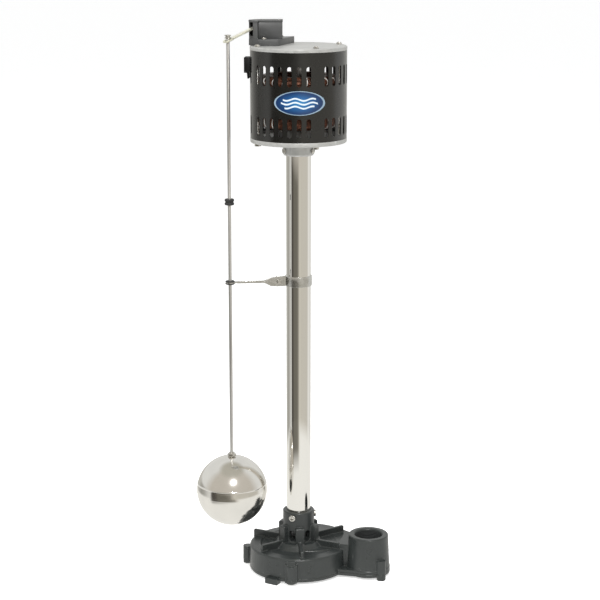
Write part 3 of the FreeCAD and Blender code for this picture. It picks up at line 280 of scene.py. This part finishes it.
def make_materials():
    made = {}
    made["base_plastic"] = mottled("base_plastic", (0.026, 0.0295, 0.0285), 0.32, patch=0.02,
                                   contrast=0.1, grain=0.0005, grain_depth=0.00004,
                                   roughness_swing=0.06)
    # the base's edges painted paler as a highlight
    painted_edge_highlight(made["base_plastic"], (0.1, 0.105, 0.1), 0.6)
    made["strainer_plastic"] = mottled("strainer_plastic", (0.04, 0.042, 0.042), 0.5)
    made["gasket_rubber"] = mottled("gasket_rubber", (0.02, 0.02, 0.02), 0.7)
    made["screw_steel"] = mottled("screw_steel", (0.66, 0.65, 0.62), 0.24, 1.0, patch=0.003,
                                  contrast=0.14, grain=0.0003, grain_depth=0.00001)
    made["bronze_bearing"] = mottled("bronze_bearing", (0.42, 0.27, 0.12), 0.4, 1.0, patch=0.001)
    made["column_chrome"] = mottled("column_chrome", (0.84, 0.83, 0.8), 0.06, 1.0, patch=0.05,
                                    contrast=0.03, grain=0.004, grain_depth=0.000006,
                                    roughness_swing=0.02, stretch=(1, 1, 0.05))
    made["shaft_steel"] = mottled("shaft_steel", (0.55, 0.55, 0.56), 0.25, 1.0, stretch=(1, 1, 0.1))
    made["impeller_plastic"] = mottled("impeller_plastic", (0.03, 0.03, 0.032), 0.45)
    made["cast_aluminium"] = mottled("cast_aluminium", (0.4, 0.4, 0.385), 0.4, 0.45, patch=0.006,
                                     contrast=0.1, grain=0.0006, grain_depth=0.00006)
    # the aluminium's edges painted paler as a highlight
    painted_edge_highlight(made["cast_aluminium"], (0.75, 0.75, 0.73), 0.5)
    made["shell_paint"] = mottled("shell_paint", (0.004, 0.004, 0.0034), 0.27, patch=0.03, contrast=0.12,
                                  grain=0.0016, grain_depth=0.00002, roughness_swing=0.05)
    set_shader(made["shell_paint"], Coat_Weight=0.5, Coat_Roughness=0.16)
    made["lamination_steel"] = laminations()
    made["winding_copper"] = mottled("winding_copper", (0.13, 0.05, 0.028), 0.32, 0.55, patch=0.003,
                                     contrast=0.9, grain=0.0011, grain_depth=0.0005, stretch=(1, 1, 3))
    made["rotor_aluminium"] = mottled("rotor_aluminium", (0.6, 0.6, 0.6), 0.4, 1.0)
    made["bush_plastic"] = mottled("bush_plastic", (0.012, 0.012, 0.012), 0.5)
    made["inlet_plastic"] = mottled("inlet_plastic", (0.007, 0.007, 0.007), 0.42)
    set_shader(made["inlet_plastic"], Specular_IOR_Level=0.2)
    made["float_steel"] = mottled("float_steel", (0.8, 0.785, 0.75), 0.13, 1.0, patch=0.03,
                                  contrast=0.04, grain=0.002, grain_depth=0.000006,
                                  roughness_swing=0.03)
    made["rod_steel"] = mottled("rod_steel", (0.7, 0.7, 0.69), 0.4, 1.0, patch=0.01, contrast=0.12,
                                stretch=(1, 1, 0.1))
    made["stop_rubber"] = mottled("stop_rubber", (0.018, 0.018, 0.018), 0.55, patch=0.004, contrast=0.25)
    made["guide_zinc"] = mottled("guide_zinc", (0.6, 0.6, 0.58), 0.28, 1.0, patch=0.005, contrast=0.12,
                                 grain=0.0008, grain_depth=0.00003)
    made["switch_plastic"] = mottled("switch_plastic", (0.042, 0.043, 0.043), 0.42, patch=0.015,
                                     contrast=0.1, grain=0.0005, grain_depth=0.00003)
    # the switch's edges painted paler as a highlight
    painted_edge_highlight(made["switch_plastic"], (0.13, 0.13, 0.13), 0.5)
    made["lever_zinc"] = mottled("lever_zinc", (0.9, 0.88, 0.74), 0.34, 0.85, patch=0.004, contrast=0.15,
                                 grain=0.0006, grain_depth=0.00002)
    made["snap_switch_case"] = mottled("snap_switch_case", (0.03, 0.03, 0.033), 0.3)
    made["button_plastic"] = mottled("button_plastic", (0.4, 0.03, 0.025), 0.3)
    low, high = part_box("label_badge")
    middle = (low + high) / 2
    made["label_film"] = label_print((0, 0, middle.z), math.atan2(middle.y, middle.x))
    return made


def laminations():
    """Thin steel sheets, stacked upwards, as fine dark lines."""
    material, tree, shader = new_material("lamination_steel", (0.3, 0.3, 0.31), 0.45, 0.8)
    stripes = tree.nodes.new("ShaderNodeTexWave")
    stripes.bands_direction = "Z"
    stripes.inputs["Scale"].default_value = 320
    stripes.inputs["Distortion"].default_value = 0.4
    wire(tree, object_coordinates(tree), "Vector", stripes, "Vector")
    stops = [(0.2, (0.1, 0.1, 0.1)), (0.7, (0.34, 0.34, 0.35))]
    tree.links.new(ramp(tree, stripes.outputs["Fac"], stops), shader.inputs["Base Color"])
    bump(tree, shader, stripes, 0.0002)
    return material


# --------------------------------------------------------------------------- meshes
def add_object(name, mesh, body, slot):
    item = bpy.data.objects.new(name, mesh)
    bpy.context.scene.collection.objects.link(item)
    mesh.materials.clear()
    mesh.materials.append(MATERIALS[slot])
    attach(item, body)
    return item


def repaint(item, material):
    """Makes this the piece's only material."""
    item.data.materials.clear()
    item.data.materials.append(material)


def smooth(mesh, angle=35):
    mesh.shade_smooth()
    mesh.set_sharp_from_angle(angle=math.radians(angle))


def body_of(node):
    return NODES[node]["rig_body"]


def slot_of(node):
    entries = frame["record"]["subparts"]
    return next(entry["material_slot"] for entry in entries if entry["node"] == node)


def applied(item):
    """The object's mesh with its modifiers worked in."""
    bpy.context.view_layer.update()
    graph = bpy.context.evaluated_depsgraph_get()
    mesh = bpy.data.meshes.new_from_object(item.evaluated_get(graph))
    item.modifiers.clear()
    item.data = mesh
    return mesh


def welded_copy(node, merge_flat=False):
    """A copy of a CAD node's mesh with shared corners, and flat regions merged if asked."""
    mesh = NODES[node].data.copy()
    work = bmesh.new()
    work.from_mesh(mesh)
    bmesh.ops.remove_doubles(work, verts=work.verts, dist=WELD_DISTANCE)
    if merge_flat:
        flat = math.radians(1.0)
        bmesh.ops.dissolve_limit(work, angle_limit=flat, verts=work.verts, edges=work.edges)
    work.to_mesh(mesh)
    work.free()
    return mesh


def refined(node, edge=0.3, segments=2):
    """Replaces a node by the same shape with rolled edges, edge mm wide."""
    mesh = welded_copy(node, merge_flat=True)
    item = add_object(node + "_fine", mesh, body_of(node), slot_of(node))
    rounding = item.modifiers.new("edges", "BEVEL")
    rounding.width = edge * MM
    rounding.segments = segments
    rounding.limit_method = "ANGLE"
    rounding.angle_limit = math.radians(32)
    rounding.harden_normals = False
    smooth(applied(item))
    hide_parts(node)


def rolled_sheet(node):
    """Replaces an upright round shell by itself, shaded as truly round; its cut edges stay crisp."""
    mesh = welded_copy(node)
    item = add_object(node + "_fine", mesh, body_of(node), slot_of(node))
    mesh.shade_smooth()
    normals = [Vector((0, 0, 1))] * len(mesh.loops)
    for face in mesh.polygons:
        for index in face.loop_indices:
            place = mesh.vertices[mesh.loops[index].vertex_index].co
            outward = Vector((place.x, place.y, 0)).normalized()
            facing = face.normal.dot(outward)
            if abs(facing) > math.cos(math.radians(20)):
                normals[index] = outward * math.copysign(1, facing)
            else:
                normals[index] = face.normal.copy()
    mesh.normals_split_custom_set(normals)
    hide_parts(node)


def moulded(node, voxel, name, keep_faces=0.35):
    """Replaces a node by a cast or moulded skin: every edge and inner corner gets a small radius."""
    item = add_object(name, welded_copy(node), body_of(node), slot_of(node))
    remesh = item.modifiers.new("skin", "REMESH")
    remesh.mode = "VOXEL"
    remesh.voxel_size = voxel * MM
    soften = item.modifiers.new("soften", "SMOOTH")
    soften.factor = 0.5
    soften.iterations = 1
    thin = item.modifiers.new("thin", "DECIMATE")
    thin.ratio = keep_faces
    applied(item).shade_smooth()
    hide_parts(node)


def lathe(name, outline, centre, body, slot, steps=128, sharp=35, closed=True):
    """Turns an outline of (radius, height) in mm, heights from the floor, about an upright axis."""
    work = bmesh.new()
    rings = []
    for radius, height in outline:
        if radius < 1e-6:
            rings.append([work.verts.new((centre.x, centre.y, height * MM))])
            continue
        turns = [2 * math.pi * step / steps for step in range(steps)]
        reach = radius * MM
        rings.append([
            work.verts.new(
                (centre.x + reach * math.cos(turn), centre.y + reach * math.sin(turn), height * MM))
            for turn in turns])
    pairs = list(zip(rings, rings[1:]))
    if closed:
        pairs.append((rings[-1], rings[0]))
    for first, second in pairs:
        for step in range(steps):
            following = (step + 1) % steps
            corners = []
            for ring, index in ((first, step), (first, following), (second, following), (second, step)):
                vertex = ring[index % len(ring)]
                if vertex not in corners:
                    corners.append(vertex)
            if len(corners) > 2:
                work.faces.new(corners)
    bmesh.ops.recalc_face_normals(work, faces=work.faces)
    mesh = bpy.data.meshes.new(name)
    work.to_mesh(mesh)
    work.free()
    smooth(mesh, sharp)
    return add_object(name, mesh, body, slot)


def rounded(corners, radius, steps=3):
    """The outline with each corner cut by a small arc-like chain of points."""
    result = []
    count = len(corners)
    for index in range(count):
        here = Vector(corners[index])
        before = Vector(corners[index - 1]) - here
        after = Vector(corners[(index + 1) % count]) - here
        reach = min(radius, before.length / 2.2, after.length / 2.2)
        if reach < 1e-6 or here.x < 1e-6:
            result.append(tuple(here))
            continue
        start = here + before.normalized() * reach
        end = here + after.normalized() * reach
        for step in range(steps + 1):
            share = step / steps
            place = (1 - share) ** 2 * start + 2 * share * (1 - share) * here + share ** 2 * end
            result.append(tuple(place))
    return result


# --------------------------------------------------------------------------- pieces
COLUMN_WALL = 1.2                # mm


def make_column():
    low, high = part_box("column_tube")
    outer = (high.x - low.x) / 2 / MM
    inner = outer - COLUMN_WALL
    foot, top = low.z / MM, high.z / MM
    outline = rounded([(inner, foot), (outer, foot), (outer, top), (inner, top)], 0.3)
    tube = lathe("chrome_column", outline, Vector((0, 0, 0)), FRAME_BODY, "column_chrome", 160)
    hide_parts("column_tube")


BALL_RADIUS = 50.8
BALL_FOOT = 50.0                 # mm from the float's middle down to its lower shell's underside
# how far the surface stands off the plain ball, in mm, at heights above its middle
BALL_RELIEF = [
    (-2.9, -0.35), (-2.6, 0.05), (-2.3, 0.1), (10.7, 0.1),
    (11.1, 0.3), (11.5, 0.4), (11.9, 0.3), (12.3, 0.0)]


def make_ball():
    """Polished float: two domes, a lap band between them and its raised lip."""
    low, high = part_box("float_upper_shell")
    centre = (low + high) / 2
    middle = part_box("float_lower_shell")[0].z / MM + BALL_FOOT
    steps = 60
    turns = [math.pi / 2 * step / steps for step in range(-steps, steps - 2)]
    heights = [(BALL_RADIUS * math.sin(turn), None) for turn in turns]
    outline = []
    for height, relief in sorted(heights + BALL_RELIEF, key=lambda pair: pair[0]):
        if relief is None and height < BALL_RELIEF[0][0]:
            relief = BALL_RELIEF[0][1]
        elif relief is None:
            relief = 0.05 if height < BALL_RELIEF[-1][0] else 0.0
        reach = math.sqrt(max(BALL_RADIUS ** 2 - height ** 2, 0))
        outline.append((max(reach + relief, 0.0), middle + height))
    ball = lathe("float_ball", outline, centre, "float_assembly", "float_steel", 160, 40, closed=False)
    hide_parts("float_upper_shell", "float_lower_shell")


def make_rod():
    low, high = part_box("float_rod")
    centre = (low + high) / 2
    radius = (high.x - low.x) / 2 / MM
    foot, top = low.z / MM, high.z / MM
    outline = rounded([(0, foot), (radius, foot), (radius, top), (0, top)], 0.4)
    rod = lathe("bright_rod", outline, centre, "float_assembly", "rod_steel", 48, closed=False)
    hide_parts("float_rod")


# the discharge socket's thread, in mm
OUTLET_MOUTH_RISE = 51.8         # from the housing's underside up to the socket's mouth
THREAD_PITCH = 2.209
THREAD_DEPTH = 0.55
THREAD_WALL_R = 20.02
THREAD_START = 2.3               # below the mouth
THREAD_END = 22                  # below the mouth
THREAD_STEPS = 72                # in one turn
THREAD_FADE_STEPS = 30           # over which each end of the thread runs out
THREAD_CREST_HALF = 0.1          # half the crest's flat
THREAD_ROOT_SHARE = 0.45         # half the root's width, as a share of the pitch


def make_outlet_thread():
    """A pipe thread's crests inside the discharge socket."""
    axis_x = frame_mount("discharge_socket").x / MM
    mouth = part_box("volute_housing")[0].z / MM + OUTLET_MOUTH_RISE
    low, high = mouth - THREAD_END, mouth - THREAD_START
    turns = (high - low) / THREAD_PITCH
    steps = int(turns * THREAD_STEPS)
    work = bmesh.new()
    rows = []
    for step in range(steps + 1):
        turn = 2 * math.pi * step / THREAD_STEPS
        height = low + THREAD_PITCH * step / THREAD_STEPS
        fade = min(1.0, step / THREAD_FADE_STEPS, (steps - step) / THREAD_FADE_STEPS)
        crest_r = THREAD_WALL_R - THREAD_DEPTH * fade
        half_root = THREAD_ROOT_SHARE * THREAD_PITCH
        section = [
            (THREAD_WALL_R, -half_root), (crest_r, -THREAD_CREST_HALF),
            (crest_r, THREAD_CREST_HALF), (THREAD_WALL_R, half_root)]
        row = []
        for radius, rise in section:
            x = axis_x + radius * math.cos(turn)
            y = radius * math.sin(turn)
            row.append(work.verts.new((x * MM, y * MM, (height + rise) * MM)))
        rows.append(row)
    for first, second in zip(rows, rows[1:]):
        for index in range(3):
            work.faces.new((first[index], first[index + 1], second[index + 1], second[index]))
    bmesh.ops.recalc_face_normals(work, faces=work.faces)
    mesh = bpy.data.meshes.new("outlet_thread")
    work.to_mesh(mesh)
    work.free()
    smooth(mesh, 30)
    item = add_object("outlet_thread", mesh, FRAME_BODY, "base_plastic")
    # the thread takes a darker, duller plastic than the socket: painted shade inside the bore
    repaint(item, DULL_PLASTIC_PAINTED_SHADE)


def frame_mount(name):
    mount = next(entry for entry in frame["record"]["mounts"] if entry["name"] == name)
    return Vector(mount["pos_m"])


# the windings' ends, in mm
STRAND_R = 0.7
STRANDS = 46
STRAND_POINTS = 16
STRAND_INSET = 1.2               # from the winding's top and bottom
LACE_R = 0.75
LACES = 22
LACE_INSET = 0.9                 # from the winding's top and bottom


def wire_bundle(node, seed):
    """Winding ends: wires laid round the ring in loose overlapping turns, laced with pale cord."""
    low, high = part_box(node)
    middle = (low.z + high.z) / 2
    chance = random.Random(seed)
    curve = bpy.data.curves.new(node + "_wires", "CURVE")
    curve.dimensions = "3D"
    curve.bevel_depth = STRAND_R * MM
    curve.bevel_resolution = 1
    curve.resolution_u = 2
    half_height = (high.z - low.z) / 2 - 1.5 * MM
    for _ in range(STRANDS):
        spline = curve.splines.new("NURBS")
        start = chance.uniform(0, 2 * math.pi)
        sweep = chance.uniform(1.2, 2.6)
        spline.points.add(STRAND_POINTS - 1)
        reach = chance.uniform(51.5, 55.6) * MM
        rise = chance.uniform(-0.9, 0.9) * half_height
        for index in range(STRAND_POINTS):
            turn = start + sweep * index / (STRAND_POINTS - 1)
            out = reach + chance.uniform(-0.6, 0.6) * MM
            up = middle + rise + chance.uniform(-1.4, 1.4) * MM
            up = min(max(up, low.z + STRAND_INSET * MM), high.z - STRAND_INSET * MM)
            spline.points[index].co = (out * math.cos(turn), out * math.sin(turn), up, 1)
        spline.order_u = 4
        spline.use_endpoint_u = True
    holder = bpy.data.objects.new(node + "_wires_curve", curve)
    bpy.context.scene.collection.objects.link(holder)
    mesh = applied_curve(holder)
    add_object(node + "_wires", mesh, FRAME_BODY, "winding_copper")
    laces(node, low, high, chance)


def applied_curve(holder):
    bpy.context.view_layer.update()
    graph = bpy.context.evaluated_depsgraph_get()
    mesh = bpy.data.meshes.new_from_object(holder.evaluated_get(graph))
    bpy.data.objects.remove(holder)
    mesh.shade_smooth()
    return mesh


def laces(node, low, high, chance):
    """Pale lacing cord tied over the winding at even steps."""
    curve = bpy.data.curves.new(node + "_lacing", "CURVE")
    curve.dimensions = "3D"
    curve.bevel_depth = LACE_R * MM
    curve.bevel_resolution = 1
    curve.resolution_u = 2
    for index in range(LACES):
        turn = 2 * math.pi * index / LACES + chance.uniform(-0.05, 0.05)
        lean = chance.uniform(-0.06, 0.06)
        middle = (low.z + high.z) / 2
        # distance from the axis in mm, and height
        places = [
            (50, low.z), (56, low.z + 3 * MM), (57.2, middle), (56, high.z - 3 * MM), (50, high.z)]
        spline = curve.splines.new("NURBS")
        spline.points.add(len(places) - 1)
        for point, (reach, height), share in zip(spline.points, places, (-1, -0.5, 0, 0.5, 1)):
            angle = turn + lean * share
            height = min(max(height, low.z + LACE_INSET * MM), high.z - LACE_INSET * MM)
            point.co = (reach * MM * math.cos(angle), reach * MM * math.sin(angle), height, 1)
        spline.order_u = 3
        spline.use_endpoint_u = True
    holder = bpy.data.objects.new(node + "_lacing_curve", curve)
    bpy.context.scene.collection.objects.link(holder)
    item = add_object(node + "_lacing", applied_curve(holder), FRAME_BODY, "winding_copper")
    repaint(item, LACING)


def make_pieces():
    make_column()
    make_ball()
    make_rod()
    make_outlet_thread()
    moulded("volute_housing", 0.6, "volute_casting")
    moulded("base_plate", 0.7, "base_plate_casting")
    rolled_sheet("motor_shell")
    for node in ("upper_end_bell", "lower_end_bell", "switch_base", "switch_housing", "switch_cover",
                 "lever_bracket", "snap_switch", "impeller"):
        refined(node, 0.5)
    for node in ("power_inlet", "guide_clamp", "guide_arm", "switch_lever", "suction_strainer"):
        refined(node)
    for node in ("base_screws", "collar_screws", "hub_screws", "switch_screws", "cover_screws",
                 "clamp_screw", "clamp_nut", "through_bolts", "bolt_nuts", "float_nut",
                 "float_ferrule", "rod_top_cap", "rod_stop", "guide_grommet", "impeller_nut",
                 "coupling_screws", "snap_switch_button", "lever_pivot_pin"):
        refined(node, 0.2)
    for node, seed in (("upper_winding", 3), ("lower_winding", 5)):
        wire_bundle(node, seed)


def dress_nodes():
    """Every CAD node left showing takes its slot's material."""
    for node, item in NODES.items():
        repaint(item, MATERIALS[slot_of(node)])
        if not item.hide_render:
            smooth(item.data)


# --------------------------------------------------------------------------- studio
def bearing_share(tree, east, north):
    """Where a direction lies round the room: 0 and 1 behind the object, 0.5 towards the camera."""
    facing = math.radians(-90) + VIEW_AZIMUTH
    ahead = maths(tree, "ADD", maths(tree, "MULTIPLY", east, math.cos(facing)),
                  maths(tree, "MULTIPLY", north, math.sin(facing)))
    aside = maths(tree, "SUBTRACT", maths(tree, "MULTIPLY", north, math.cos(facing)),
                  maths(tree, "MULTIPLY", east, math.sin(facing)))
    turn = maths(tree, "ARCTAN2", aside, ahead)
    return maths(tree, "ADD", maths(tree, "DIVIDE", turn, 2 * math.pi), 0.5)


def floor_disc(name, radius, material, reflected):
    """A flat round floor that only reflections see, or that only they don't."""
    mesh = bpy.data.meshes.new(name)
    work = bmesh.new()
    bmesh.ops.create_circle(work, cap_ends=True, segments=96, radius=radius)
    work.to_mesh(mesh)
    work.free()
    mesh.materials.append(material)
    floor = bpy.data.objects.new(name, mesh)
    floor.visible_camera = not reflected
    floor.visible_diffuse = not reflected
    floor.visible_shadow = not reflected
    floor.visible_glossy = reflected
    bpy.context.scene.collection.objects.link(floor)


def make_floor():
    material, tree, shader = new_material("floor", (0.86, 0.86, 0.85), 0.7)
    stops = [(0.3, (0.85, 0.85, 0.84)), (0.7, (0.875, 0.875, 0.865))]
    patches = noise(tree, 0.08, 3.0)
    tree.links.new(ramp(tree, patches.outputs["Fac"], stops), shader.inputs["Base Color"])
    shader.inputs["Emission Color"].default_value = (1, 1, 1, 1)
    shader.inputs["Emission Strength"].default_value = FLOOR_GLOW
    floor_disc("floor", 30.0, material, False)


def make_reflected_floor():
    """The floor as polished pieces see it: pale, turning into the wall's colours further out."""
    material, tree, shader = new_material("floor_reflected", (0, 0, 0), 1.0)
    coordinates = tree.nodes.new("ShaderNodeTexCoord")
    split = tree.nodes.new("ShaderNodeSeparateXYZ")
    wire(tree, coordinates, "Object", split, "Vector")
    reach = tree.nodes.new("ShaderNodeVectorMath")
    reach.operation = "LENGTH"
    wire(tree, coordinates, "Object", reach, 0)
    around = bearing_share(tree, split.outputs["X"], split.outputs["Y"])
    dark_side = ramp(tree, around, DARK_SIDE)
    edge = stretched(tree, reach.outputs["Value"], 0.5, REFLECTED_FLOOR_RADIUS)
    dark_edge = stretched(tree, reach.outputs["Value"], 0.32, 0.43)
    turn = maths(tree, "MAXIMUM", edge, maths(tree, "MULTIPLY", dark_edge, dark_side))
    colour = mixed(tree, turn, (0.93, 0.92, 0.88), ramp(tree, around, WALL_COLOURS))
    tree.links.new(colour, shader.inputs["Emission Color"])
    shader.inputs["Emission Strength"].default_value = 1.0
    floor_disc("floor_reflected", REFLECTED_FLOOR_RADIUS, material, True)


def make_light(name, place, target, size, power, glints=False):
    """A round soft light; only one that glints shows in polished pieces."""
    data = bpy.data.lights.new(name, "AREA")
    data.shape = "DISK"
    data.size = size
    data.energy = power
    light = bpy.data.objects.new(name, data)
    light.location = place
    direction = Vector(target) - Vector(place)
    light.rotation_euler = direction.to_track_quat("-Z", "Y").to_euler()
    light.visible_glossy = glints
    bpy.context.scene.collection.objects.link(light)


def make_world():
    """White to the camera, evenly pale to matt surfaces, and dark and warm walls to gloss."""
    world = bpy.data.worlds.new("studio")
    bpy.context.scene.world = world
    world.use_nodes = True
    tree = world.node_tree
    for node in list(tree.nodes):
        tree.nodes.remove(node)

    def backdrop(colour, strength):
        node = tree.nodes.new("ShaderNodeBackground")
        node.inputs["Strength"].default_value = strength
        if isinstance(colour, tuple):
            node.inputs["Color"].default_value = (*colour, 1)
        else:
            tree.links.new(colour, node.inputs["Color"])
        return node.outputs[0]

    def choose(factor, first, second):
        node = tree.nodes.new("ShaderNodeMixShader")
        tree.links.new(factor, node.inputs[0])
        tree.links.new(first, node.inputs[1])
        tree.links.new(second, node.inputs[2])
        return node.outputs[0]

    coordinates = tree.nodes.new("ShaderNodeTexCoord")
    split = tree.nodes.new("ShaderNodeSeparateXYZ")
    wire(tree, coordinates, "Generated", split, "Vector")
    east, north, height = (split.outputs[axis] for axis in "XYZ")
    around = bearing_share(tree, east, north)
    above = stretched(tree, height, *UPPER_WALL_RISE)
    walls = mixed(tree, above, ramp(tree, around, WALL_COLOURS), ramp(tree, around, UPPER_COLOURS))
    room_colour = mixed(tree, stretched(tree, height, *CEILING_RISE), walls, CEILING_COLOUR)
    path = tree.nodes.new("ShaderNodeLightPath")
    even = backdrop((0.97, 0.98, 1.0), AMBIENT)
    lit = choose(path.outputs["Is Glossy Ray"], even, backdrop(room_colour, 1.0))
    seen = choose(path.outputs["Is Camera Ray"], lit, backdrop((1, 1, 1), 1.0))
    output = tree.nodes.new("ShaderNodeOutputWorld")
    tree.links.new(seen, output.inputs["Surface"])


def make_studio():
    make_world()
    make_floor()
    make_reflected_floor()
    make_light("key", (0.75, -2.14, 2.1), (0, 0, 0.35), 0.3, 48, glints=True)
    make_light("side", (-1.7, -2.0, 1.9), (0, 0, 0.4), 1.0, 34)
    make_light("top", (0.2, 0.1, 2.8), (0, 0, 0.3), 1.8, 40)


# --------------------------------------------------------------------------- build
bpy.context.scene.view_settings.view_transform = "Standard"
MATERIALS = make_materials()
# darker than the base plastic as painted shade for the thread in the socket's bore, and rough so it
# doesn't glint
DULL_PLASTIC_PAINTED_SHADE = mottled("dull_plastic_painted_shade", (0.02, 0.022, 0.022), 0.8)
LACING = mottled("lacing_cord", (0.75, 0.73, 0.68), 0.7, patch=0.002, contrast=0.2)
make_camera()
make_pieces()
dress_nodes()
make_studio()
